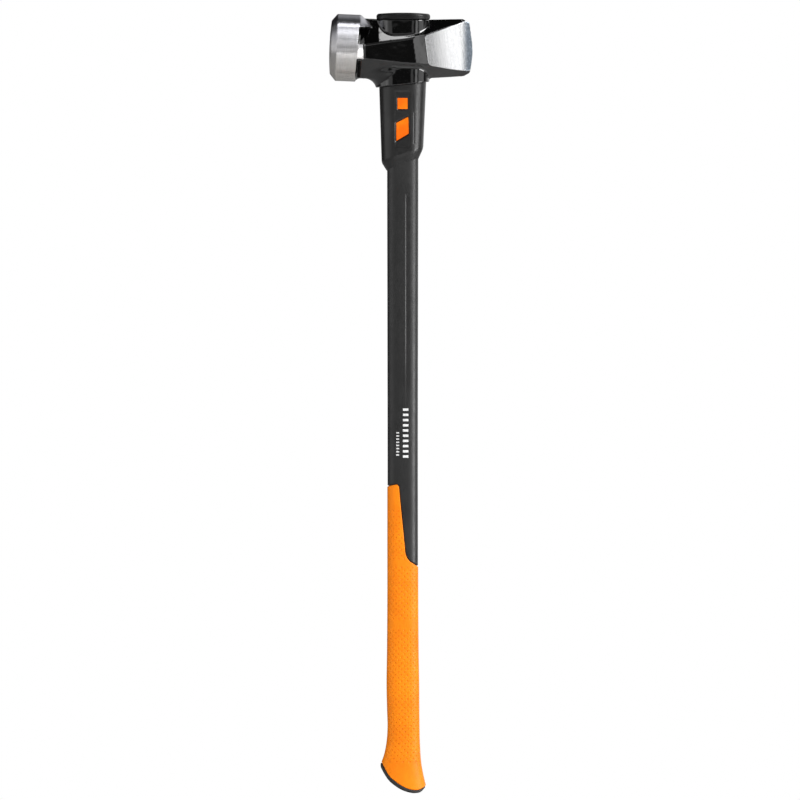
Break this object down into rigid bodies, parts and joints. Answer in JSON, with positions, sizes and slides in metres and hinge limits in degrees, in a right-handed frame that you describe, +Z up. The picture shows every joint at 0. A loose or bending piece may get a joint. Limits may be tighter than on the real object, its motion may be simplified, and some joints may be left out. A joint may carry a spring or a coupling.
{
  "type": "splitting maul",
  "caption": "Long-handled splitting maul: forged head with a round hammer face and a wedge blade, composite handle, soft overmoulded grip.",
  "frame": {"origin": "on the handle's axis, level with the lowest point of the butt", "axes": "+Z up the handle to the head, +X towards the cutting edge, the poll towards -X; the tool is the same on both sides of the XZ plane"},
  "size_m": [0.1677, 0.0784, 0.9144],
  "materials": {
    "painted_steel": "gloss black paint on forged steel; the poll and the blade's cheeks are ground bright",
    "black_elastomer": "satin moulded elastomer",
    "orange_elastomer": "satin moulded elastomer",
    "fibre_composite": "pultruded glass-fibre composite",
    "plug_plastic": "moulded plastic",
    "damping_filler": "foamed damping filler",
    "black_composite": "satin, fine moulded grain",
    "orange_grip": "soft matt overmould with small dimples",
    "black_sole": "matt moulded rubber"
  },
  "bodies": {
    "root": {"maul_head": "painted_steel", "eye_flange": "black_elastomer", "insulation_sleeve": "orange_elastomer", "collar_shell": "black_elastomer", "core_tube": "fibre_composite", "core_top_plug": "plug_plastic", "damping_core": "damping_filler", "core_end_plug": "plug_plastic", "handle_shell": "black_composite", "grip_sleeve": "orange_grip", "butt_sole": "black_sole"}
  },
  "joints": []
}
